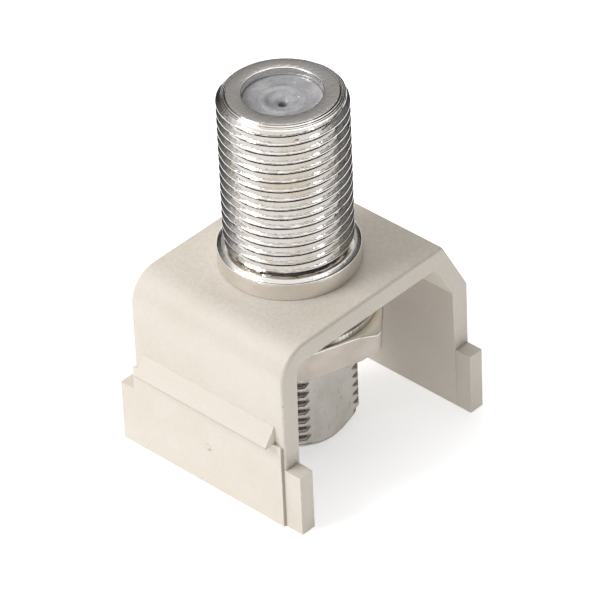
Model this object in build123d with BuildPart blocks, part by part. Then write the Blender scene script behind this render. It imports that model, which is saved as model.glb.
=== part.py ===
from build123d import *
from math import cos, pi, radians, tan
import os

# A snap-in coaxial module: a moulded saddle carries a double-female threaded coupler,
# clamped through its top plate by a collar above and a washer stack and hex nut below.
# Millimetres. The feet stand on Z = 0, the saddle is centred on X = Y = 0, +Z is up,
# and -Y is the open front.

# Driving dimensions of the moulded saddle
saddle_width = 19.5        # across the outer faces of the two legs
saddle_depth = 14.8        # front edge to back edge of the legs and plate
saddle_height = 15.2       # feet to the top of the plate
leg_wall = 1.3             # at the foot
shoulder_wall = 1.55       # the same wall at the shoulder, thicker by the mould's draft
plate_wall = 1.55
round_corner_outer = 2.5   # left shoulder, a constant-wall bend
bevel_across = 2.55        # right shoulder, outer bevel measured along the plate
bevel_down = 4.65          # right shoulder, outer bevel measured down the leg
inner_bevel_across = 1.8
inner_bevel_down = 3.2
edge_soften = 0.25         # rounding of the plate's front and back top edges

# End tabs at the feet, and the snap catch on each leg
tab_length = 1.35
tab_height = 5.15
pad_proud = 0.2            # raised lower pad on each leg's outer face
pad_height = 7.2
pad_inset = 0.25           # from the leg's front edge to the start of the pad
catch_proud = 1.0          # reach of the wedge past the leg's outer face
catch_height = 1.55
catch_inset = 0.95         # from the leg's front and back edges to the wedge's ends
catch_nose = 0.12          # blunt height at the wedge's tip

# The coupler's place and its outer form
coupler_x = -0.6           # the barrel sits nearer to the rounded shoulder
coupler_y = 0.2
upper_thread_major = 9.45  # 3/8-32 thread, major diameter as made
lower_thread_major = 9.1   # the keyed end measures a little less over its crests
thread_pitch = 25.4 / 32
upper_thread_depth = 0.45
upper_crest_land = 0.0     # the grooves meet in an edge
lower_thread_depth = 0.3   # the keyed end is turned down, which leaves wide crests
lower_crest_land = 0.34
collar_radius = 5.2
collar_height = 1.45
collar_bevel_in = 0.35
collar_bevel_up = 0.2
neck_radius = 4.3
neck_height = 0.45
upper_length = 14.4        # plate top to the upper rim
lower_gap = 0.45           # floor to the lower rim
upper_rim_radius = 4.0
upper_rim_bevel = 0.4      # height of the bevel from the rim to the first crest
lower_rim_bevel = 1.15     # a 45 degree lead-in at the lower end
flat_distance = 3.6        # axis to each of the two flats that key the barrel

# Bores of the coupler and what they hold
port_radius = 2.9
seat_depth = 5.0           # from each rim to the shoulder that stops the insulator
web_radius = 2.2
insulator_recess = 0.6     # the insulator's face lies this far inside the rim
insulator_dish = 0.3
insulator_pocket = 2.0     # depth of the pocket that centres the contact
lead_in_radius = 1.15      # funnel round the conductor hole
conductor_radius = 0.6
contact_radius = 1.1
contact_socket_depth = 6.5
contact_slot_width = 0.2
contact_slot_length = 4.5

# Fixings under the plate
spacer_radius = 6.2
spacer_thickness = 1.65
spacer_edge = 0.11
lock_radius = 6.35
lock_thickness = 0.55
lock_teeth = 18
lock_tooth_depth = 0.2
nut_across_flats = 13.0
nut_thickness = 2.25
nut_face_radius = 6.8      # where the 30 degree corner chamfer starts
nut_turn = -19.6           # heading at which the nut was tightened

# Clearances
thread_clearance = 0.1     # round the barrel in the plate, washers and nut
insulator_clearance = 0.02
contact_clearance = 0.03

# Worked-out sizes
half_width = saddle_width / 2
half_depth = saddle_depth / 2
plate_underside = saddle_height - plate_wall
round_corner_inner = round_corner_outer - shoulder_wall
upper_radius = upper_thread_major / 2
lower_radius = lower_thread_major / 2
hole_radius = lower_radius + thread_clearance
rim_top = saddle_height + upper_length
rim_bottom = lower_gap
collar_top = saddle_height + collar_height + collar_bevel_up
upper_thread_start = collar_top + neck_height
upper_thread_end = rim_top - upper_rim_bevel
lower_thread_start = rim_bottom + lower_rim_bevel
lock_top = plate_underside - spacer_thickness
nut_top = lock_top - lock_thickness
nut_bottom = nut_top - nut_thickness
lower_thread_end = nut_bottom
coupler_axis = Plane((coupler_x, coupler_y, 0))
coupler_section = Plane((coupler_x, coupler_y, 0), x_dir=(1, 0, 0), z_dir=(0, -1, 0))


def thread_outline(crest_radius, depth, land, start, end):
    """Outer outline of a thread: V grooves with a crest land or edge between, and plain ends."""
    grooves = int((end - start - land) / thread_pitch)
    first_groove = (start + end + land - grooves * thread_pitch) / 2
    half_groove = (thread_pitch - land) / 2
    points = [(crest_radius, start)]
    for index in range(grooves):
        z = first_groove + index * thread_pitch
        if index == 0 or land > 0:
            points.append((crest_radius, z))
        points.append((crest_radius - depth, z + half_groove))
        points.append((crest_radius, z + 2 * half_groove))
    points.append((crest_radius, end))
    return points


os.makedirs("parts", exist_ok=True)

# The saddle: one moulded wall bent round three sides, seen from the front
with BuildPart() as bracket:
    with BuildSketch(Plane.XZ) as wall:
        with BuildLine():
            FilletPolyline(
                (-half_width, 0),
                (-half_width, saddle_height),
                (half_width - bevel_across, saddle_height),
                radius=round_corner_outer,
            )
            Polyline(
                (half_width - bevel_across, saddle_height),
                (half_width, saddle_height - bevel_down),
                (half_width, 0),
                (half_width - leg_wall, 0),
                (half_width - shoulder_wall, plate_underside - inner_bevel_down),
                (half_width - shoulder_wall - inner_bevel_across, plate_underside),
            )
            FilletPolyline(
                (half_width - shoulder_wall - inner_bevel_across, plate_underside),
                (-half_width + shoulder_wall, plate_underside),
                (-half_width + leg_wall, 0),
                radius=round_corner_inner,
            )
            Line((-half_width + leg_wall, 0), (-half_width, 0))
        make_face()
    extrude(amount=half_depth, both=True)
    plate_edges = bracket.edges().filter_by(Axis.X).group_by(Axis.Z)[-1]
    fillet(plate_edges, edge_soften)

    # Feet: each leg runs on into a tab at the front and at the back
    for side in (-1, 1):
        with BuildSketch(Plane.XY):
            with Locations((side * (half_width - leg_wall / 2), 0)):
                Rectangle(leg_wall, saddle_depth + 2 * tab_length)
        extrude(amount=tab_height)

    # Raised lower pad on each leg, from just behind the front edge to the back tab's end
    pad_reach = saddle_depth - pad_inset
    for side in (-1, 1):
        with BuildSketch(Plane.XY):
            with Locations((side * (half_width + pad_proud / 2), pad_inset / 2)):
                Rectangle(pad_proud, pad_reach)
        extrude(amount=pad_height)
        with BuildSketch(Plane.XY):
            with Locations((side * (half_width + pad_proud / 2), half_depth + tab_length / 2)):
                Rectangle(pad_proud, tab_length)
        extrude(amount=tab_height)

    # Wedge catch above each pad, ramped so that it snaps in from below
    catch_length = saddle_depth - 2 * catch_inset
    for side in (-1, 1):
        with BuildSketch(Plane.XZ):
            with BuildLine():
                Polyline(
                    (side * (half_width - leg_wall / 2), pad_height),
                    (side * (half_width + catch_proud), pad_height),
                    (side * (half_width + catch_proud), pad_height + catch_nose),
                    (side * half_width, pad_height + catch_height),
                    (side * (half_width - leg_wall / 2), pad_height + catch_height),
                    close=True,
                )
            make_face()
        extrude(amount=catch_length / 2, both=True)

    # Keyed hole: round, with a flat at the front and at the back for the barrel's flats
    with BuildSketch(coupler_axis.offset(plate_underside - plate_wall)):
        Circle(hole_radius)
        Rectangle(2 * hole_radius, 2 * (flat_distance + thread_clearance), mode=Mode.INTERSECT)
    extrude(amount=3 * plate_wall, mode=Mode.SUBTRACT)
bracket.part.label = "bracket"
export_step(bracket.part, "parts/bracket.step")

# The coupler's metal body: turned from bar, threaded above and below a round collar
with BuildPart() as coupler_body:
    with BuildSketch(coupler_section):
        with BuildLine():
            outline = [
                (port_radius, rim_bottom),
                (lower_radius - lower_rim_bevel, rim_bottom),
                *thread_outline(
                    lower_radius, lower_thread_depth, lower_crest_land,
                    lower_thread_start, lower_thread_end,
                ),
                (lower_radius, saddle_height),
                (collar_radius, saddle_height),
                (collar_radius, saddle_height + collar_height),
                (collar_radius - collar_bevel_in, collar_top),
                (neck_radius, collar_top),
                (neck_radius, upper_thread_start - (upper_radius - neck_radius) / 2),
                *thread_outline(
                    upper_radius, upper_thread_depth, upper_crest_land,
                    upper_thread_start, upper_thread_end,
                ),
                (upper_rim_radius, rim_top),
                (port_radius, rim_top),
                (port_radius, rim_top - seat_depth),
                (web_radius, rim_top - seat_depth),
                (web_radius, rim_bottom + seat_depth),
                (port_radius, rim_bottom + seat_depth),
            ]
            Polyline(*outline, close=True)
        make_face()
    revolve(axis=Axis((coupler_x, coupler_y, 0), (0, 0, 1)))

    # Two milled flats key the lower barrel in the plate
    flat_reach = 2 * lower_radius
    for side in (-1, 1):
        with BuildSketch(coupler_axis):
            with Locations((0, side * (flat_distance + flat_reach / 2))):
                Rectangle(2 * flat_reach, flat_reach)
        extrude(amount=saddle_height, mode=Mode.SUBTRACT)
coupler_body.part.label = "coupler_body"
export_step(coupler_body.part, "parts/coupler_body.step")

# Round spacer directly under the plate
with BuildPart() as spacer_washer:
    with BuildSketch(coupler_axis.offset(lock_top)):
        Circle(spacer_radius)
        Circle(hole_radius, mode=Mode.SUBTRACT)
    extrude(amount=spacer_thickness)
    rims = spacer_washer.edges().filter_by(GeomType.CIRCLE).sort_by(SortBy.RADIUS)[-2:]
    chamfer(rims, spacer_edge)
spacer_washer.part.label = "spacer_washer"
export_step(spacer_washer.part, "parts/spacer_washer.step")

# Serrated lock washer between the spacer and the nut
with BuildPart() as lock_washer:
    with BuildSketch(coupler_axis.offset(nut_top)):
        Circle(lock_radius - lock_tooth_depth)
        with PolarLocations(lock_radius - lock_tooth_depth, lock_teeth):
            Rectangle(2 * lock_tooth_depth, pi * lock_radius / lock_teeth)
        Circle(hole_radius, mode=Mode.SUBTRACT)
    extrude(amount=lock_thickness)
lock_washer.part.label = "lock_washer"
export_step(lock_washer.part, "parts/lock_washer.step")

# Hex nut with its corners chamfered on both faces
with BuildPart() as hex_nut:
    with BuildSketch(coupler_axis.offset(nut_bottom)):
        RegularPolygon(nut_across_flats / 2, 6, major_radius=False, rotation=nut_turn)
    extrude(amount=nut_thickness)
    corner_radius = nut_across_flats / 2 / cos(radians(30))
    corner_cut = corner_radius - nut_face_radius
    with BuildSketch(coupler_section):
        with BuildLine():
            Polyline(
                (0, nut_bottom),
                (nut_face_radius, nut_bottom),
                (corner_radius, nut_bottom + corner_cut * tan(radians(30))),
                (corner_radius, nut_top - corner_cut * tan(radians(30))),
                (nut_face_radius, nut_top),
                (0, nut_top),
                close=True,
            )
        make_face()
    revolve(axis=Axis((coupler_x, coupler_y, 0), (0, 0, 1)), mode=Mode.INTERSECT)
    with BuildSketch(coupler_axis.offset(nut_bottom)):
        Circle(hole_radius)
    extrude(amount=nut_thickness, mode=Mode.SUBTRACT)
hex_nut.part.label = "hex_nut"
export_step(hex_nut.part, "parts/hex_nut.step")


def insulator(rim, inward):
    """Stepped moulded plug seated in one port, from its dished face at the rim inwards."""
    outer = port_radius - insulator_clearance
    pocket = contact_radius + contact_clearance
    funnel_top = insulator_recess + insulator_dish
    funnel_end = funnel_top + lead_in_radius - conductor_radius

    def at(radius, depth):
        return (radius, rim + inward * depth)

    with BuildPart() as plug:
        with BuildSketch(coupler_section):
            with BuildLine():
                Polyline(
                    at(outer, insulator_recess),
                    at(lead_in_radius, funnel_top),
                    at(conductor_radius, funnel_end),
                    at(conductor_radius, seat_depth - insulator_pocket),
                    at(pocket, seat_depth - insulator_pocket),
                    at(pocket, seat_depth),
                    at(outer, seat_depth),
                    close=True,
                )
            make_face()
        revolve(axis=Axis((coupler_x, coupler_y, 0), (0, 0, 1)))
    return plug


# One insulator in each port holds the contact on the axis
upper_insulator = insulator(rim_top, -1)
upper_insulator.part.label = "upper_insulator"
export_step(upper_insulator.part, "parts/upper_insulator.step")

lower_insulator = insulator(rim_bottom, 1)
lower_insulator.part.label = "lower_insulator"
export_step(lower_insulator.part, "parts/lower_insulator.step")

# Double-ended spring contact: a tube with a socket and crossed slots at each end
contact_bottom = rim_bottom + seat_depth - insulator_pocket + contact_clearance
contact_top = rim_top - seat_depth + insulator_pocket - contact_clearance
contact_length = contact_top - contact_bottom
with BuildPart() as centre_contact:
    with BuildSketch(coupler_axis.offset(contact_bottom)):
        Circle(contact_radius)
    extrude(amount=contact_length)
    for start in (contact_bottom, contact_top - contact_socket_depth):
        with BuildSketch(coupler_axis.offset(start)):
            Circle(conductor_radius)
        extrude(amount=contact_socket_depth, mode=Mode.SUBTRACT)
    for start in (contact_bottom, contact_top - contact_slot_length):
        with BuildSketch(coupler_axis.offset(start)):
            Rectangle(2 * contact_radius, contact_slot_width)
            Rectangle(contact_slot_width, 2 * contact_radius)
        extrude(amount=contact_slot_length, mode=Mode.SUBTRACT)
centre_contact.part.label = "centre_contact"
export_step(centre_contact.part, "parts/centre_contact.step")
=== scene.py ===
# %% [markdown]
# A coaxial keystone module: an ivory moulded saddle with a threaded metal coupler through it.
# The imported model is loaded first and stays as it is. Each visible piece is then made finer
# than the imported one, in the same place and at the same size, and takes its place on show.
# The drawing is in millimetres, with the feet on z = 0, and is turned into metres at the end.

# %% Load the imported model
import math

import bmesh
import bpy
import numpy as np
from mathutils import Matrix, Vector


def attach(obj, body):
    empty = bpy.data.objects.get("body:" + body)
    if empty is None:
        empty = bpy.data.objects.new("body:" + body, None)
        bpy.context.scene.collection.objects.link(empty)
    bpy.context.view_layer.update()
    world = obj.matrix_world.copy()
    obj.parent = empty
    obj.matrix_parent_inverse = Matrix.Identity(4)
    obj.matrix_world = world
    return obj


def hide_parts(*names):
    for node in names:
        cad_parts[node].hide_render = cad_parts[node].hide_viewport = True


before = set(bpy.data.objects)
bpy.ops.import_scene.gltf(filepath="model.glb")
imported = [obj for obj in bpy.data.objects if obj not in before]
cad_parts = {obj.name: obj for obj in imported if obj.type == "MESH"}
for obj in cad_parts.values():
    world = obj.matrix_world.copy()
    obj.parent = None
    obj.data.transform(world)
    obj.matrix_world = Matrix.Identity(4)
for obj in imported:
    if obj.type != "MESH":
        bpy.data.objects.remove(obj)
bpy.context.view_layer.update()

MM = 0.001

# %% [markdown]
# The sizes that several pieces share. They repeat the solids' own sizes, so that each finer
# piece fills the same space as the solid that it stands for. A size that only one piece needs
# is given with that piece.

# %% Shared sizes
AXIS_X, AXIS_Y = -0.6, 0.2            # where the coupler's axis stands
PLATE_TOP, PLATE_UNDER = 15.2, 13.65
RIM_TOP, RIM_BOTTOM = 29.6, 0.45
HOLE_RADIUS = 4.65                    # through the washers and the nut
LEG_FACE = 9.75                       # outer face of each leg
TURN = 2 * math.pi
print("plate", round(PLATE_TOP - PLATE_UNDER, 2), "mm thick, barrel",
      round(RIM_TOP - RIM_BOTTOM, 2), "mm long")

# %% [markdown]
# A surface here is a grid of points: rows run along a profile and columns run round the axis.
# Blender's own Screw and Spin tools could carry a profile round too, but the threads here also
# have nicks, flats and run-outs, and those are easier as one formula on a grid. The first and
# last column lie on each other, and merging them closes the seam. A helper turns such a grid
# into an object, merges what coincides, and makes the faces point outwards.

# %% Grid of points to object
WELD = 2e-4                           # points nearer than this, in mm, become one


def placed(name, data):
    """A new object of a mesh, light or camera, in the scene."""
    made = bpy.data.objects.new(name, data)
    bpy.context.scene.collection.objects.link(made)
    return made


def grid_object(name, points):
    """Mesh of a grid: points[row, column] in mm, one quad between each four neighbours."""
    rows, columns = points.shape[:2]
    index = np.arange(rows * columns).reshape(rows, columns)
    quads = np.stack([index[:-1, :-1], index[:-1, 1:], index[1:, 1:], index[1:, :-1]], axis=-1)
    mesh = bpy.data.meshes.new(name)
    mesh.from_pydata((points.reshape(-1, 3) * MM).tolist(), [], quads.reshape(-1, 4).tolist())
    work = bmesh.new()
    work.from_mesh(mesh)
    bmesh.ops.remove_doubles(work, verts=work.verts, dist=WELD * MM)
    bmesh.ops.dissolve_degenerate(work, edges=work.edges, dist=WELD * MM)
    bmesh.ops.recalc_face_normals(work, faces=work.faces)
    work.to_mesh(mesh)
    work.free()
    return placed(name, mesh)


def shade(piece, angle_deg=32):
    """Smooth shading, with edges sharper than the angle kept crisp."""
    bpy.context.view_layer.objects.active = piece
    piece.select_set(True)
    bpy.ops.object.shade_smooth_by_angle(angle=math.radians(angle_deg))
    piece.select_set(False)
    return piece


def describe(piece):
    """Prints the triangles and the box of a piece, with its modifiers."""
    seen = piece.evaluated_get(bpy.context.evaluated_depsgraph_get())
    mesh = seen.to_mesh()
    count = sum(len(p.vertices) - 2 for p in mesh.polygons)
    co = np.array([v.co[:] for v in mesh.vertices]) / MM
    seen.to_mesh_clear()
    print(f"{piece.name}: {count} triangles, from {co.min(0).round(2)} to {co.max(0).round(2)} mm")


# %% [markdown]
# Turned parts are a profile carried round the axis. A profile is a list of (radius, height)
# corners, and each corner is rounded a little, because a real edge is never quite sharp and a
# thin bright line along an edge is what makes metal look like metal. A Bevel modifier would
# round them too, but it also rounds the thread's crests, which have a form of their own.

# %% Profiles and turning
def rounded(corners, radius=0.06, steps=3, closed=True):
    """Each corner is replaced by a short arc-like curve: q = (1-t)^2 a + 2t(1-t) c + t^2 b."""
    c = np.array(corners, float)
    before, after = np.roll(c, 1, axis=0), np.roll(c, -1, axis=0)
    to_before, to_after = before - c, after - c
    length_before = np.linalg.norm(to_before, axis=1, keepdims=True)
    length_after = np.linalg.norm(to_after, axis=1, keepdims=True)
    reach = np.minimum(radius, 0.45 * np.minimum(length_before, length_after))
    a = c + to_before / length_before * reach
    b = c + to_after / length_after * reach
    t = np.linspace(0, 1, steps + 1)[None, :, None]
    curve = (1 - t) ** 2 * a[:, None] + 2 * t * (1 - t) * c[:, None] + t ** 2 * b[:, None]
    points = curve.reshape(-1, 2)
    return np.vstack([points, points[:1]]) if closed else points


def turned(radius, height, angle):
    """Points (x0 + r cos a, y0 + r sin a, z) for arrays of radius and height over the angle."""
    return np.stack([AXIS_X + radius * np.cos(angle), AXIS_Y + radius * np.sin(angle),
                     height + 0 * angle], axis=-1)


def around_axis(columns):
    """One row of angles, once round, with the seam's angle at both ends."""
    return np.linspace(0, TURN, columns + 1)[None, :]


# %% [markdown]
# The threads are true helices. Height on the thread is z = z0 + pitch * (place + angle / turn),
# so each row of the grid climbs with the helix and the crests' edges run along rows. The rows
# that would stick out past an end are pressed flat onto it, and merging removes them. Modelling
# one turn and repeating it with an Array modifier would leave its two ends to be cut by hand.
# The form is the standard one: 60 degrees between flanks, a crest land of pitch / 8, and a root
# of about pitch / 4 on the upper thread. The lower thread is cut deeper, so its root is narrower.

# %% Thread form
PITCH = 25.4 / 32
COLUMNS = 200                         # steps of the grid round the axis
CREST_HALF = 1 / 16                   # half of the crest land, in pitches
ROOT_RISE = 0.04                      # the root is deepest in its middle, by so many mm
ROOT_FROM, ROOT_OVER = 0.44, 0.06     # pitches off a crest where that rise starts, and its length
# where the grid's rows lie in each pitch, counted from the middle of a crest
ROW_PLACES = np.array([-0.045, 0.045, 0.068, 0.10, 0.22, 0.34, 0.385, 0.44,
                       0.56, 0.615, 0.66, 0.78, 0.90, 0.932])


def thread_form(place, root):
    """Depth under the crest: tan 60 * pitch * (distance to the crest - half land), up to the
    root, which rises a little towards the flanks."""
    away = np.abs((place + 0.5) % 1 - 0.5)
    flank = math.tan(math.radians(60)) * PITCH * np.maximum(away - CREST_HALF, 0)
    return np.minimum(flank, root - ROOT_RISE * np.clip((ROOT_FROM - away) / ROOT_OVER, 0, 1))


def helix_rows(start, end):
    """(height, angle) of a helical grid, with the heights held between two ends."""
    turns = np.arange(-1, math.ceil((end - start) / PITCH) + 1)
    climb = (turns[:, None] + ROW_PLACES).reshape(-1, 1)
    angle = around_axis(COLUMNS) + 0 * climb
    return np.clip(start + PITCH * (climb + angle / TURN), start, end), angle


print(len(ROW_PLACES), "rows in each pitch of", round(PITCH, 4), "mm")

# %% [markdown]
# A real thread isn't perfect: its crests are nicked here and there, and its diameter wanders by
# a few microns. Both come from sums of sines that close round the axis. A second kind of row is
# plain, for the collar, shank, rims and ports, and has the same columns, so that all of them
# stack into one grid.

# %% Threaded and plain stretches
WAVES = 12                            # sines in each sum
NICKS, WANDER = 0.035, 0.006          # mm for each unit of unevenness
FLAT = 3.6                            # from the axis to each milled flat


def uneven(angle, height, around, size, seed):
    """Unevenness of about -1 to 1: a sum of sines that close round the axis, phases from a seed."""
    draw = np.random.default_rng(seed)
    total = 0
    for turns, along in zip(draw.integers(*around, WAVES), draw.uniform(-1, 1, WAVES)):
        total = total + np.sin(turns * angle + TURN * along * height / size + draw.uniform(0, TURN))
    return total / math.sqrt(WAVES)


def threaded(start, end, crest, root, ends, seed):
    """Radius and height of a threaded stretch: crest less the thread's form, the nicks and the
    wander, and never more than ends, a line of (height, radius) corners."""
    height, angle = helix_rows(start, end)
    depth = thread_form((height - start) / PITCH - angle / TURN, root)
    nicks = np.clip(uneven(angle, height, (14, 60), 0.9, seed) - 0.7, 0, 1.2) * NICKS
    wander = np.abs(uneven(angle, height, (2, 9), 5, seed + 1)) * WANDER
    radius = crest - np.maximum(depth, nicks) - wander
    return np.minimum(radius, np.interp(height, *zip(*ends))), height, angle


def plain(profile):
    """Radius and height of turned rows without a thread."""
    rows = np.array(profile, float)
    angle = around_axis(COLUMNS) + 0 * rows[:, :1]
    return rows[:, :1] + 0 * angle, rows[:, 1:] + 0 * angle, angle


def with_flats(radius, height, angle):
    """The radius cut back to the two flats: at most flat / |sin angle|."""
    flat = FLAT / np.maximum(np.abs(np.sin(angle)), 1e-6)
    return np.minimum(radius, flat), height, angle


# %% [markdown]
# The coupler's body is one closed profile: out of the lower port, up the outside with both
# threads and the collar between them, over the rim, down the upper port, and past the thick web.
# On the real one the keyed end was turned down before its two flats were milled, so its crests
# are cut off at a smaller radius. It could be stacked from separate pieces, but their seams would
# show in what the metal mirrors. The first and last corner of each short profile give it its
# direction, and the slices then cut their curves away.

# %% Coupler body
UPPER_RADIUS, LOWER_RADIUS = 4.725, 4.55
UPPER_DEPTH, LOWER_DEPTH = 0.43, 0.49   # both from the full crest, UPPER_RADIUS
RELIEF_RADIUS = 4.3                   # where each thread runs out
LEAD_IN_RADIUS = 3.4                  # the lower end's cone, at the rim
COLLAR_RADIUS, COLLAR_TOP = 5.2, 16.85
RIM_RADIUS = 4.03                     # outer edge of the upper rim's flat face
PORT_RADIUS, WEB_RADIUS = 2.9, 2.2
SEAT_DEPTH = 5.0

collar = rounded([(4.5, PLATE_TOP), (COLLAR_RADIUS, PLATE_TOP), (COLLAR_RADIUS, COLLAR_TOP - 0.2),
                  (4.85, COLLAR_TOP), (RELIEF_RADIUS, COLLAR_TOP)], radius=0.07,
                 closed=False)[3:-3]
# the rim's bevel carries three fine steps that the thread tool left
bevel_steps = [(4.44, 29.36), (4.37, 29.37), (4.33, 29.42), (4.24, 29.44), (4.2, 29.5), (4.1, 29.52)]
port_top = rounded([*bevel_steps, (RIM_RADIUS, RIM_TOP), (PORT_RADIUS, RIM_TOP),
                    (PORT_RADIUS, RIM_TOP - SEAT_DEPTH), (WEB_RADIUS, RIM_TOP - SEAT_DEPTH)],
                   radius=0.08, closed=False)[4:-4]
port_bottom = rounded([(WEB_RADIUS, RIM_BOTTOM + SEAT_DEPTH), (PORT_RADIUS, RIM_BOTTOM + SEAT_DEPTH),
                       (PORT_RADIUS, RIM_BOTTOM), (LEAD_IN_RADIUS, RIM_BOTTOM),
                       (3.9, RIM_BOTTOM + 0.5)], radius=0.08, closed=False)[3:-6]
upper = threaded(COLLAR_TOP, 29.35, UPPER_RADIUS, UPPER_DEPTH,
                 [(COLLAR_TOP, RELIEF_RADIUS), (17.09, RELIEF_RADIUS), (17.3, UPPER_RADIUS),
                  (29.2, UPPER_RADIUS), (RIM_TOP, 4.0)], seed=3)
lower = with_flats(*threaded(RIM_BOTTOM + 0.04, 12.05, UPPER_RADIUS, LOWER_DEPTH,
                             [(RIM_BOTTOM, LEAD_IN_RADIUS), (1.6, LOWER_RADIUS),
                              (11.6, LOWER_RADIUS), (12.05, RELIEF_RADIUS)], seed=5))
shank = with_flats(*plain([(RELIEF_RADIUS, 12.2), (4.5, 12.5), (LOWER_RADIUS, PLATE_TOP)]))
web = [(WEB_RADIUS, RIM_TOP - SEAT_DEPTH), (WEB_RADIUS, RIM_BOTTOM + SEAT_DEPTH)]
stretches = [plain(port_bottom), lower, shank, plain(collar), upper, plain(port_top), plain(web),
             plain(port_bottom[:1])]
radius, height, angle = (np.vstack([s[i] for s in stretches]) for i in range(3))
body = shade(grid_object("coupler_barrel", turned(radius, height, angle)), 40)
describe(body)

# %% [markdown]
# Directly under the plate sits a thick turned spacer, with a fine groove round its side. A plain
# cylinder could stand for it, but its soft edges and the groove catch the light, so the whole
# profile is carried once round.

# %% Spacer
LOCK_TOP = 12.0
SPACER_RADIUS = 6.2
GROOVE_Z = 12.83

spacer_profile = rounded([(HOLE_RADIUS, LOCK_TOP), (SPACER_RADIUS, LOCK_TOP),
                          (SPACER_RADIUS, GROOVE_Z - 0.05), (SPACER_RADIUS - 0.05, GROOVE_Z),
                          (SPACER_RADIUS, GROOVE_Z + 0.05), (SPACER_RADIUS, PLATE_UNDER),
                          (HOLE_RADIUS, PLATE_UNDER)], radius=0.1)
angle = around_axis(160)
spacer = shade(grid_object("spacer_ring", turned(spacer_profile[:, :1] + 0 * angle,
                                                 spacer_profile[:, 1:], angle)))
describe(spacer)

# %% [markdown]
# The lock washer is thin, and serrated all round so that it bites. Its teeth could be cut one by
# one, but here they are a wave in the radius as it goes round, which keeps it one clean surface.

# %% Lock washer
NUT_TOP, NUT_BOTTOM = 11.45, 9.2
TEETH = 120
TOOTH_FOOT, TOOTH_DEPTH = 6.305, 0.025


def lock_washer_points(columns=720):
    """r = foot + depth * a triangle wave of (teeth * angle) with its tips and feet cut flat."""
    angle = around_axis(columns)
    wave = 1 - np.abs(((angle / TURN * TEETH) % 1) - 0.5) * 2
    outer = TOOTH_FOOT + TOOTH_DEPTH * np.clip(wave * 1.8 - 0.4, 0, 1)
    inner = HOLE_RADIUS + 0 * angle
    low, high = NUT_TOP + 0.01, LOCK_TOP - 0.01
    edge = 0.05
    rows = [(inner, low + edge), (inner + edge, low), (outer - edge, low), (outer, low + edge),
            (outer, high - edge), (outer - edge, high), (inner + edge, high),
            (inner, high - edge), (inner, low + edge)]
    return np.stack([turned(r, z + 0 * angle, angle)[0] for r, z in rows])


lock = shade(grid_object("serrated_washer", lock_washer_points()))
describe(lock)

# %% [markdown]
# The nut is a hexagon whose distance from the axis is apothem / cos(angle to the nearest flat).
# Both faces are cut by a 30 degree cone that starts at the face's own circle, which gives the
# curved corners of every machined nut. A boolean with a cone would do that too, but leaves
# ragged triangles along the cut.

# %% Nut
APOTHEM = 6.5
FACE_RADIUS = 6.8
CONE_SLOPE = math.tan(math.radians(30))
NUT_TURN = math.radians(10.4)         # heading of one of the flats
CORNER_CUT = 0.12
BORE_CHAMFER = 0.35


def nut_points(columns=288):
    """Rows from the bore's foot out over the lower face, up the flats and back over the top."""
    angle = around_axis(columns)
    sector = TURN / 6
    off = (angle - NUT_TURN + sector / 2) % sector - sector / 2
    hexagon = APOTHEM / np.cos(off)
    corner = np.minimum(hexagon, APOTHEM / math.cos(sector / 2) - CORNER_CUT)
    drop = np.maximum(corner - FACE_RADIUS, 0) * CONE_SLOPE
    face = np.minimum(corner - 0.08, FACE_RADIUS)
    bore = HOLE_RADIUS + 0 * angle
    soft = 0.07
    low, high = NUT_BOTTOM, NUT_TOP
    rows = [(bore, low + BORE_CHAMFER), (bore + BORE_CHAMFER, low), (face - soft, low + 0 * angle),
            (face, low + 0.012 + 0 * angle), (corner - 0.3 * soft, low + drop + 0.7 * soft),
            (corner, low + drop + 2 * soft), (corner, high - drop - 2 * soft),
            (corner - 0.3 * soft, high - drop - 0.7 * soft), (face, high - 0.012 + 0 * angle),
            (face - soft, high + 0 * angle), (bore + BORE_CHAMFER, high),
            (bore, high - BORE_CHAMFER), (bore, low + BORE_CHAMFER)]
    return np.stack([turned(r, z + 0 * angle, angle)[0] for r, z in rows])


nut = shade(grid_object("clamping_nut", nut_points()))
describe(nut)

# %% [markdown]
# Each port holds a moulded plug of milky, slightly see-through plastic. Its face is a shallow
# dish with a raised ring round the funnel for the conductor, and a step at its outer edge. Discs
# and cones could be joined for it, but one turned profile keeps the passages between them soft.
# Both plugs share it, counted inwards from a rim: the lower one is the upper one turned over.

# %% Insulators
def plug_points(rim, inward, columns=128):
    """The plug's closed profile of (radius, depth under the rim), carried round."""
    profile = rounded([(2.88, 0.56), (2.7, 0.5), (2.45, 0.58), (1.75, 0.66), (1.6, 0.60),
                       (1.3, 0.62), (1.05, 0.78), (0.6, 0.92), (0.32, 1.1), (0.32, 1.6),
                       (0.6, 1.9), (0.6, 3.0), (1.13, 3.0), (1.13, SEAT_DEPTH),
                       (2.88, SEAT_DEPTH)], radius=0.12)
    angle = around_axis(columns)
    return turned(profile[:, :1] + 0 * angle, rim + inward * profile[:, 1:], angle)


upper_plug = shade(grid_object("upper_port_plug", plug_points(RIM_TOP, -1)))
lower_plug = shade(grid_object("lower_port_plug", plug_points(RIM_BOTTOM, 1)))
describe(upper_plug)
describe(lower_plug)

# %% [markdown]
# The saddle is one moulding with many straight edges. Its solid already has the true form, so a
# copy is taken, its triangles are joined into whole faces again, and a narrow three-step bevel
# rounds every edge, as the mould does. Modelling it anew would only risk a second, slightly
# different saddle. The curved shoulder keeps its own steps, smooth shaded.

# %% Saddle
EDGE_ROUNDING = 0.09

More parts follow.
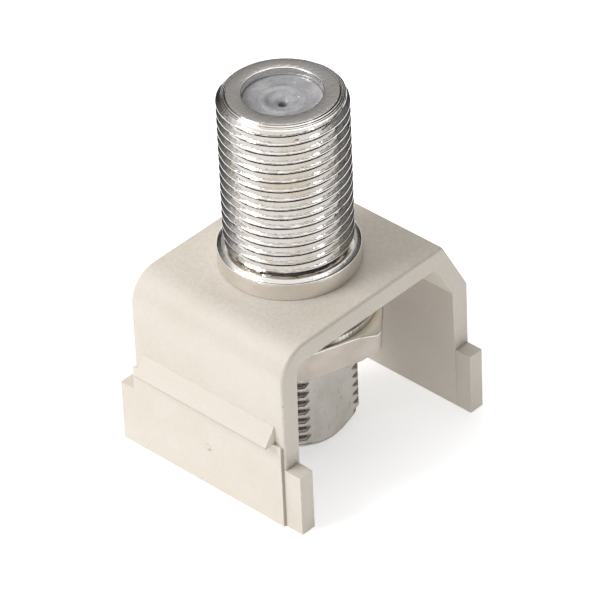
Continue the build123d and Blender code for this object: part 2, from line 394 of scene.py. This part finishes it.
saddle_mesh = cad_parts["bracket"].data.copy()
work = bmesh.new()
work.from_mesh(saddle_mesh)
bmesh.ops.remove_doubles(work, verts=work.verts, dist=1e-6)
bmesh.ops.dissolve_limit(work, angle_limit=math.radians(0.6), verts=work.verts, edges=work.edges)
work.to_mesh(saddle_mesh)
work.free()
saddle_mesh.materials.clear()
saddle = placed("moulded_saddle", saddle_mesh)
bevel = saddle.modifiers.new("rounded edges", "BEVEL")
bevel.width = EDGE_ROUNDING * MM
bevel.segments = 3
bevel.limit_method = "ANGLE"
bevel.angle_limit = math.radians(24)
bevel.harden_normals = True
bevel.miter_outer = "MITER_ARC"
shade(saddle, 30)
describe(saddle)

# %% [markdown]
# Shader maths. A small class holds one socket. Adding, multiplying or subtracting such values
# adds the Math node that does it, so a pattern can be written as a plain expression. Placing the
# nodes by hand in the editor gives the same tree, but can't be read from top to bottom.

# %% Node writing
class Value:
    """One socket of a material, with the operators that the patterns below use."""

    def __init__(self, tree, socket=None):
        self.tree, self.socket = tree, socket

    def node(self, kind, settings=None, outlet=0, **inputs):
        """A node of one kind: its settings first, then its sockets, by name or by number. It
        gives one outlet of that node."""
        made = self.tree.nodes.new(kind)
        for key, setting in (settings or {}).items():
            setattr(made, key, setting)
        for key, given in inputs.items():
            name = int(key[1:]) if key[:1] == "_" else key.replace("_", " ")
            if isinstance(given, Value):
                self.tree.links.new(given.socket, made.inputs[name])
            else:
                made.inputs[name].default_value = given
        return Value(self.tree, made.outputs[outlet])

    def math(self, operation, other=0.0):
        """A Math node of this value and another one."""
        return self.node("ShaderNodeMath", {"operation": operation}, _0=self, _1=other)

    def __add__(self, other):
        return self.math("ADD", other)

    __radd__ = __add__

    def __mul__(self, other):
        return self.math("MULTIPLY", other)

    __rmul__ = __mul__

    def __sub__(self, other):
        return self.math("SUBTRACT", other)

    def __rsub__(self, other):
        return (self * -1) + other

    def __pow__(self, other):
        return self.math("POWER", other)

    def __abs__(self):
        return self.math("ABSOLUTE")

    def step(self, low, high):
        """0 on low's side, 1 on high's side, with a soft passage between."""
        return self.node("ShaderNodeMapRange", {"interpolation_type": "SMOOTHSTEP"},
                         _0=self, _1=low, _2=high)

    def mix(self, first, second):
        """A colour between two colours, with this value as the share of the second."""
        return self.node("ShaderNodeMix", {"data_type": "RGBA"}, outlet=2,
                         _0=self, _6=first, _7=second)

    def tint(self, colour):
        """This colour multiplied by another one."""
        return self.node("ShaderNodeMix", {"data_type": "RGBA", "blend_type": "MULTIPLY"},
                         outlet=2, _0=1.0, _6=self, _7=colour)


# %% [markdown]
# A finish is one material. Its patterns read the place on the object in millimetres from the
# coupler's axis, so that they stay on the piece from every side, and the sizes below can be
# compared with the real ones. Its plain colour and roughness are what a viewer shows that
# leaves the patterns out.

# %% Finishes
class Finish:
    """A material: its shader, its place on the object, and the patterns that read that place."""

    def __init__(self, name, colour, roughness, **own):
        self.material = bpy.data.materials.new(name)
        self.material.use_nodes = True
        self.tree = self.material.node_tree
        self.shader = self.tree.nodes["Principled BSDF"]
        self.set(Base_Color=(*colour, 1), Roughness=roughness, **own)
        here = Value(self.tree).node("ShaderNodeTexCoord", outlet="Object")
        self.place = here.node("ShaderNodeMapping", {"vector_type": "POINT"}, Vector=here,
                               Scale=(1 / MM,) * 3, Location=(-AXIS_X, -AXIS_Y, 0))

    def set(self, **inputs):
        """Sets or links the shader's sockets."""
        for key, given in inputs.items():
            name = key.replace("_", " ")
            if isinstance(given, Value):
                self.tree.links.new(given.socket, self.shader.inputs[name])
            else:
                self.shader.inputs[name].default_value = given

    def noise(self, size, detail=3.0, roughness=0.55, scale=None):
        """Soft noise from 0 to 1 with features of about size mm, stretched where scale is given."""
        at = self.place if scale is None else self.place.node(
            "ShaderNodeMapping", {"vector_type": "POINT"}, Vector=self.place, Scale=scale)
        return self.place.node("ShaderNodeTexNoise", {"noise_dimensions": "3D"}, Vector=at,
                               Scale=1 / size, Detail=detail, Roughness=roughness)

    def cells(self, size):
        """Distance to the nearest of scattered points that lie about size mm apart."""
        return self.place.node("ShaderNodeTexVoronoi", {"feature": "F1"}, Vector=self.place,
                               Scale=1 / size)

    def places(self):
        """x, y and z in millimetres from the coupler's axis and the feet, as three values."""
        return [self.place.node("ShaderNodeSeparateXYZ", outlet=axis, Vector=self.place)
                for axis in "XYZ"]

    def bump(self, height, depth_mm):
        """Links a height from 0 to 1 as a bump that is depth_mm deep."""
        self.set(Normal=height.node("ShaderNodeBump", Height=height, Strength=1.0,
                                    Distance=depth_mm * MM))

    def on(self, *pieces):
        """Puts the material on pieces, and prints which, and how many nodes it has."""
        for piece in pieces:
            piece.data.materials.clear()
            piece.data.materials.append(self.material)
        print(f"{self.material.name}: {len(self.tree.nodes)} nodes, on", *(p.name for p in pieces))


# %% [markdown]
# The saddle's plastic is ivory, satin, and finely grained like leather where the mould was
# etched. Broad, faint clouds of tone keep it from looking painted, and fine speckles are
# strongest on the plate. A photo of plastic could be wrapped round it, but would show its edges
# and repeats, where noise that is worked out at each place shows neither.

# %% Ivory plastic
ivory = Finish("ivory_plastic", (0.70, 0.645, 0.565), 0.46, Specular_IOR_Level=0.42)
x, y, z = ivory.places()
clouds = ivory.noise(5.0, detail=2.0)
ivory_tone = clouds.step(0.3, 0.7).mix((0.673, 0.613, 0.532, 1), (0.698, 0.643, 0.568, 1))
on_plate = z.step(PLATE_TOP - 0.3, PLATE_TOP - 0.1)
flecks = ivory.noise(0.28, detail=3.0, roughness=0.6).step(0.66, 0.34) * (0.35 + 0.65 * on_plate)
speckled = ivory_tone.tint(flecks.mix((1.02, 1.02, 1.02, 1), (0.945, 0.94, 0.93, 1)))
leather = ivory.cells(0.30).step(0.0, 0.5) * 0.6 + ivory.noise(0.12, detail=2.0) * 0.5

# %% [markdown]
# Small marks make it a real moulding: the mould's gate left a broken ring and a dot on the left
# pad, and the left leg's front edge has three small nicks. Light and shade are painted on it too:
# the catches' ramps are painted brighter, as painted light where they tilt up into the light, a
# grey line along each catch's blunt lower edge is painted shade, and a dark line along the front
# end of each pad is a painted shadow in the step there. Each mark is a mask, 1 on the mark and 0
# elsewhere, made from distances in millimetres.

# %% Marks on the saddle
PAD_TOP, PAD_FRONT, LEG_FRONT = 7.2, -7.2, -7.4
GATE_Y, GATE_Z = 0.1 - AXIS_Y, 3.5
# the colour of the real marks and of the painted shade lines
MARK_AND_SHADE_COLOUR = (0.20, 0.16, 0.12, 1)

beside = abs(x + AXIS_X)              # from the saddle's middle, the same for both legs
outward = x + (AXIS_X + LEG_FACE)     # 0 on the left leg's outer face, less outside it
along = y - GATE_Y                    # from the gate towards the back
# painted light: the catches' ramps are painted brighter, where they tilt up into the light
ramp_painted_light = beside.step(LEG_FACE + 0.02, LEG_FACE + 0.10) * z.step(PAD_TOP + 0.14, PAD_TOP + 0.18)
# painted shade: a grey line along each catch's blunt lower edge
nose_painted_shade = beside.step(LEG_FACE + 0.8, LEG_FACE + 0.9) * z.step(PAD_TOP + 0.14, PAD_TOP + 0.10)
on_left_pad = outward.step(-0.05, -0.15)
from_gate = (along ** 2 + (z - GATE_Z) ** 2) ** 0.5
ring = (from_gate.step(0.16, 0.24) * from_gate.step(0.40, 0.30)
        * ivory.noise(0.3).step(0.40, 0.52) * on_left_pad)
dot = ((along + 0.12) ** 2 + (z - GATE_Z + 0.12) ** 2).step(0.012, 0.004) * on_left_pad
# painted shadow: a dark line along the front end of each pad, in the step there
pad_step_painted_shadow = (abs(y + (AXIS_Y - PAD_FRONT)).step(0.09, 0.03)
        * beside.step(LEG_FACE - 0.10, LEG_FACE - 0.01) * z.step(PAD_TOP, PAD_TOP - 0.2))
nicks = 0.0
for height, size in ((14.7, 0.10), (10.9, 0.16), (9.9, 0.13)):
    away = outward ** 2 + (y + (AXIS_Y - LEG_FRONT)) ** 2 + (z - height) ** 2
    nicks = away.step(size ** 2, (0.5 * size) ** 2) + nicks
# the gate's ring and dot and the nicks are real marks; the lines at the catches and pads are painted
# shade
marks_and_painted_shade = dot * 0.75 + ring * 0.12 + pad_step_painted_shadow * 0.45 + nicks * 0.35 + nose_painted_shade * 0.28
ivory.set(Base_Color=marks_and_painted_shade.mix(ramp_painted_light.mix(speckled, (0.75, 0.69, 0.61, 1)), MARK_AND_SHADE_COLOUR))
ivory.set(Roughness=0.40 + 0.16 * ivory.noise(0.8))
ivory.bump(leather + clouds * 0.6 + ring * 1.2 - nicks * 2.0, 0.026)
ivory.on(saddle)

# %% [markdown]
# The coupler is cast or turned from a zinc or brass alloy and nickel plated. Turning leaves
# fine rings, and plating leaves slow ripples and a few pits. Roughness varies more than colour.
# One class makes this plating for every metal piece, and each piece adds its own colours.

# %% Plated metal
class Plating(Finish):
    """Nickel plating: rings from turning, ripples, pits, and clouds in the roughness."""

    def __init__(self, name, colour, low, high, ripple, ring=0.3, fine=3.0):
        super().__init__(name, colour, low, Metallic=1.0)
        self.colour = colour
        self.clouds = self.noise(2.6, detail=4.0, roughness=0.65)
        self.dull = self.clouds.step(0.42, 0.72)
        ripples = self.noise(0.28, detail=fine, roughness=0.6)
        rings = self.noise(0.09, detail=2.0, scale=(0.15, 0.15, 1.0))
        pits = self.cells(0.55).step(0.02, 0.13)
        self.rough = (self.dull * (high - low) + low) + (1 - pits) * 0.12 + rings * 0.05
        self.relief = ripples * ripple + rings * ring + pits * 0.12

    def clouded(self):
        """The plain colour, a little warmer in the dull clouds."""
        warm = tuple(c * f for c, f in zip(self.colour, (0.93, 0.90, 0.84)))
        return self.dull.mix((*self.colour, 1), (*warm, 1))

    def lay(self, colours, rough=0.0, relief=0.0):
        """Links the colours, and the plating's roughness and relief with what a piece adds."""
        self.set(Base_Color=colours, Roughness=self.rough + rough)
        self.bump(self.relief + relief, 0.05)
        return self


# %% [markdown]
# The barrel isn't the same all over. Its flats were cut by milling, and so are rougher and
# scratched; their darker grey is partly the metal's own and partly painted shade, for the shaded
# floor that they mirror between the legs. The collar is paler, and the upper port's wall is painted
# pale, as painted light inside its shaded recess. The upper thread's roots and a line round the
# upper rim are darker, and a few dents on the flats are dirty. Below the nut the metal is painted
# darker, and its roots more so, as painted shade under the plate between the legs, and a dark line
# along the arc where each flat meets the lead-in's cone is a painted shadow. These places could be
# painted by hand, but masks that follow from the radii and heights stay right when a size changes.

# %% Barrel's finish
# the colour of the dirty dents, the darker lines and the painted shade
DARK_AND_SHADE_COLOUR = (0.13, 0.105, 0.075, 1)

barrel_metal = Plating("nickel_barrel", (0.72, 0.695, 0.67), 0.05, 0.15, 0.24, ring=0.04, fine=1.0)
x, y, z = barrel_metal.places()
around = (x ** 2 + y ** 2) ** 0.5
flats = abs(y).step(FLAT - 0.10, FLAT - 0.04) * z.step(LOCK_TOP - 0.1, LOCK_TOP - 0.2)
low_end = z.step(NUT_BOTTOM + 0.4, NUT_BOTTOM + 0.2) * (1 - flats)
collar_side = z.step(PLATE_TOP - 0.1, PLATE_TOP) * z.step(COLLAR_TOP + 0.05, COLLAR_TOP - 0.05)
# painted light: the upper port's wall is painted pale inside its shaded recess
port_wall_painted_light = (around.step(PORT_RADIUS + 0.09, PORT_RADIUS + 0.04)
             * z.step(RIM_TOP - 1.4, RIM_TOP - 1.2))

scratches = barrel_metal.noise(0.3, detail=4.0, roughness=0.7, scale=(3.0, 1.0, 0.5))
# the flats' darker grey: partly the metal's own, partly painted shade for the shaded floor that they
# mirror between the legs
milled_grey_and_shade = barrel_metal.clouds.step(0.35, 0.65).mix((0.42, 0.385, 0.365, 1), (0.365, 0.35, 0.30, 1))
colours = (collar_side * 0.8).mix(barrel_metal.clouded(), (0.86, 0.83, 0.79, 1))
colours = port_wall_painted_light.mix(colours, (0.97, 0.95, 0.93, 1))
colours = (flats * (0.55 + 0.45 * scratches)).mix(colours, milled_grey_and_shade)

upper_roots = (around.step(RELIEF_RADIUS + 0.08, RELIEF_RADIUS)
               * around.step(RELIEF_RADIUS - 0.2, RELIEF_RADIUS - 0.1)
               * z.step(COLLAR_TOP + 0.25, COLLAR_TOP + 0.45))
lower_roots = around.step(LOWER_RADIUS - 0.05, LOWER_RADIUS - 0.19)
rim_line = (around.step(RIM_RADIUS - 0.05, RIM_RADIUS)
            * around.step(RIM_RADIUS + 0.09, RIM_RADIUS + 0.03)
            * z.step(RIM_TOP - 0.3, RIM_TOP - 0.2))
dents = barrel_metal.noise(0.45, detail=3.0, scale=(1.6, 1.0, 0.4)).step(0.61, 0.68) * flats
# painted shadow: a dark line along the arc where each flat meets the lead-in's cone
flat_arc_painted_shadow = (z + (LEAD_IN_RADIUS - RIM_BOTTOM) - around).step(0.15, 0.05) * flats
# painted shade below the nut, under the plate between the legs, darker in its roots; the dents are
# dirty; the upper roots and the rim line are darker
darkening_and_painted_shade = (upper_roots * 0.3 + (lower_roots * 0.34 + 0.36) * low_end + rim_line * 0.6
        + dents * 0.5 + flat_arc_painted_shadow * 0.6)
barrel_metal.lay(darkening_and_painted_shade.mix(colours, DARK_AND_SHADE_COLOUR), rough=flats * 0.22 + collar_side * 0.08 + low_end * 0.12,
                 relief=flats * scratches * 0.5)
barrel_metal.on(body)

# %% [markdown]
# The nut is duller and redder than the barrel, and its upper face with the corner cone is painted
# bright, as painted light on a face in the plate's shade and a painted highlight on its cone.
# On that cone z + (radius - face's radius) * slope is the face's own height, which gives the
# mask. The spacer is pale, and the lock washer is dark where the nut and the plate shade it.

# %% Fixings' finish
nut_metal = Plating("nickel_nut", (0.66, 0.585, 0.52), 0.38, 0.50, 0.5, ring=0.15)
x, y, z = nut_metal.places()
facets = nut_metal.noise(2.0).step(0.35, 0.65).mix((0.49, 0.425, 0.38, 1), (0.44, 0.40, 0.35, 1))
cone = ((x ** 2 + y ** 2) ** 0.5 - FACE_RADIUS).math("MAXIMUM", 0.0) * CONE_SLOPE
# painted light: the upper face and its corner cone are painted bright
upper_face_painted_light = (z + cone).step(NUT_TOP - 0.15, NUT_TOP - 0.07)
nut_metal.lay(upper_face_painted_light.mix(facets, (0.94, 0.92, 0.84, 1))).on(nut)

washer_metal = Plating("nickel_spacer", (0.90, 0.85, 0.80), 0.34, 0.46, 0.4)
washer_metal.lay(washer_metal.clouded()).on(spacer)

lock_metal = Plating("nickel_lock_washer", (0.80, 0.76, 0.70), 0.26, 0.38, 0.4)
x, y, z = lock_metal.places()
lock_metal.lay(x.step(-2.4, -1.2).mix((0.16, 0.14, 0.11, 1), (0.66, 0.62, 0.58, 1))).on(lock)

# %% [markdown]
# The port plugs are milky plastic that lets a little light in, so they glow softly inside. Glass
# would be too clear for it, so the shader scatters the light under the skin. A few bright dots
# are where the moulding's skin catches the light.

# %% Insulator plastic
milky = Finish("milky_plastic", (0.60, 0.605, 0.63), 0.22, Subsurface_Weight=0.9,
               Subsurface_Radius=(1.0, 1.0, 1.1), Subsurface_Scale=1.2 * MM,
               Coat_Weight=0.3, Coat_Roughness=0.12)
milk = milky.noise(1.4, detail=3.0).step(0.35, 0.7).mix((0.32, 0.315, 0.325, 1),
                                                        (0.43, 0.42, 0.43, 1))
dots = milky.cells(0.8).step(0.11, 0.05) * 0.8
milky.set(Base_Color=dots.mix(milk, (0.92, 0.92, 0.94, 1)))
milky.set(Roughness=0.16 + 0.2 * milky.noise(0.5))
milky.bump(milky.noise(0.4, detail=3.0), 0.05)
milky.on(upper_plug, lower_plug)

# %% [markdown]
# The spring contact sits deep in the funnels. Its solid already has the right form, so it is
# shown as it is, with a tinned finish. Its mesh stays untouched: only the material in its slots
# changes.

# %% Contact
contact_metal = Plating("tinned_contact", (0.74, 0.66, 0.50), 0.28, 0.4, 0.3)
contact_metal.lay(contact_metal.clouded())
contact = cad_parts["centre_contact"]
for place in contact.material_slots:
    place.material = contact_metal.material
print("tinned_contact on", len(contact.material_slots), "slots")

# %% [markdown]
# Every new piece rides on the one body there is and stands for its node, whose solid is hidden.
# The table lists each piece with its node and a material slot's name. Seven calls of each kind
# could be written out, but a table shows at a glance which piece stands for which node.

# %% Riding and replacing
for piece, node, slot in (
    (saddle, "bracket", "ivory_plastic"),
    (body, "coupler_body", "plated_body"),
    (spacer, "spacer_washer", "plated_fixings"),
    (lock, "lock_washer", "plated_fixings"),
    (nut, "hex_nut", "plated_fixings"),
    (upper_plug, "upper_insulator", "insulator_plastic"),
    (lower_plug, "lower_insulator", "insulator_plastic"),
):
    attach(piece, "root")
    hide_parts(node)

# %% [markdown]
# The floor is a wide pale sheet that glows a little, so that it stays nearly white as in a
# catalogue photo, and the shadows on it stay faint. A curved backdrop could hide its far edge,
# but the photo's camera looks down and never sees that edge.

# %% Floor
FLOOR_REACH = 0.9

floor_mesh = bpy.data.meshes.new("floor")
floor_mesh.from_pydata([(-FLOOR_REACH, -FLOOR_REACH, 0), (FLOOR_REACH, -FLOOR_REACH, 0),
                        (FLOOR_REACH, FLOOR_REACH, 0), (-FLOOR_REACH, FLOOR_REACH, 0)],
                       [], [(0, 1, 2, 3)])
floor = placed("floor", floor_mesh)
paper = Finish("pale_paper", (0.87, 0.877, 0.89), 0.9, Specular_IOR_Level=0.1,
               Emission_Color=(1, 1, 1, 1), Emission_Strength=0.55)
paper.on(floor)

# %% [markdown]
# The light is soft: a broad source to the left models the leg, and two small high ones put the
# bright dashes on the thread. One large source could light everything, but the thread's dashes
# would then run together into broad white glints. Azimuths are counted to the right from the
# side where the camera stands.

# %% Softboxes
CAMERA_AZIMUTH = 45.793
LAMP_DISTANCE = 0.50


def toward(azimuth, elevation):
    """Unit vector to a place in the room, its azimuth counted right from the camera's side."""
    a, e = math.radians(CAMERA_AZIMUTH - azimuth), math.radians(elevation)
    return (-math.sin(a) * math.cos(e), -math.cos(a) * math.cos(e), math.sin(e))


def softbox(name, azimuth, elevation, width, height, power):
    """A rectangular light that faces the coupler from a place in the room."""
    away = Vector(toward(azimuth, elevation))
    light = bpy.data.lights.new(name, "AREA")
    light.shape = "RECTANGLE"
    light.size, light.size_y = width, height
    light.energy = power
    lamp = placed(name, light)
    lamp.location = Vector((AXIS_X, AXIS_Y, 14)) * MM + away * LAMP_DISTANCE
    lamp.rotation_mode = "QUATERNION"
    lamp.rotation_quaternion = away.to_track_quat("Z", "Y")
    print(f"{name}: {power} W at {azimuth}, {elevation} degrees")


softbox("key_left", -75, 42, 0.24, 0.24, 1.49)
softbox("high_left", -101, 60, 0.09, 0.09, 0.06)
softbox("high_right", 86, 67, 0.05, 0.06, 0.055)

# %% [markdown]
# Metal shows what stands round it, so the sky has a few soft bright patches: one overhead for
# the thread, one behind for the rim's face, and a dim one to the left. An image of a studio
# would do it too, but patches are easier to move. Each is a share of how far a direction faces
# its middle.

# %% Sky
ROOM_LIGHT = 0.045                    # the room's own dim light, from every side
# azimuth and elevation of each soft patch, the cosines where it fades out and is full, its level
SKY_PATCHES = [(-80, 80, 0.56, 0.95, 0.93), (172, 55, 0.72, 1.0, 0.41), (160, 62, 0.90, 1.0, 0.8),
               (-116, 40, 0.78, 1.0, 0.15)]

world = bpy.data.worlds.new("studio")
bpy.context.scene.world = world
world.use_nodes = True
sky = world.node_tree
out_of_room = Value(sky).node("ShaderNodeTexCoord", outlet="Generated")
level = ROOM_LIGHT
for azimuth, elevation, faded, full, strength in SKY_PATCHES:
    facing = out_of_room.node("ShaderNodeVectorMath", {"operation": "DOT_PRODUCT"}, outlet=1,
                              _0=out_of_room, _1=toward(azimuth, elevation))
    level = facing.step(faded, full) * strength + level
sky.links.new(level.socket, sky.nodes["Background"].inputs["Strength"])
sky.nodes["Background"].inputs["Color"].default_value = (1, 1, 1, 1)
bpy.context.scene.view_settings.view_transform = "Standard"
print(len(SKY_PATCHES), "patches in the sky")

# %% [markdown]
# The camera was worked out from measured corners of the saddle and the rims of the coupler. It
# stands to the left front and above, 365 mm away, with a long lens and a small roll. A point on
# the coupler's axis is put at its own pixel, and the camera's place follows from that.

# %% Camera
ELEVATION, ROLL = 37.365, -2.513
DISTANCE = 365.0
PIXELS_PER_MM, FRAME_PIXELS = 13.9693, 608
TARGET_Z, TARGET_PIXEL = 13.5, (290.73, 275.62)
SENSOR = 36.0


def place_camera():
    """Camera at T - F d - R (u - c) / k - U (c - v) / k, which puts T at pixel (u, v)."""
    azimuth, elevation, roll = map(math.radians, (CAMERA_AZIMUTH, ELEVATION, ROLL))
    middle = FRAME_PIXELS / 2
    forward = Vector((math.sin(azimuth) * math.cos(elevation),
                      math.cos(azimuth) * math.cos(elevation), -math.sin(elevation)))
    right = Vector((math.cos(azimuth), -math.sin(azimuth), 0))
    up = right.cross(forward)
    across = math.cos(roll) * right + math.sin(roll) * up
    upward = -math.sin(roll) * right + math.cos(roll) * up
    place = (Vector((AXIS_X, AXIS_Y, TARGET_Z)) - forward * DISTANCE
             - across * (TARGET_PIXEL[0] - middle) / PIXELS_PER_MM
             - upward * (middle - TARGET_PIXEL[1]) / PIXELS_PER_MM)
    camera = placed("camera", bpy.data.cameras.new("camera"))
    camera.data.sensor_width = SENSOR
    camera.data.lens = PIXELS_PER_MM * DISTANCE * SENSOR / FRAME_PIXELS
    camera.data.clip_start, camera.data.clip_end = 0.01, 10
    turn = Matrix((across, upward, -forward)).transposed()
    camera.matrix_world = Matrix.Translation(place * MM) @ turn.to_4x4()
    bpy.context.scene.camera = camera
    print("lens", round(camera.data.lens, 1), "mm, at", [round(c, 1) for c in place])


place_camera()

# %% [markdown]
# Last, the view layer is brought up to date.

# %% The end
bpy.context.view_layer.update()
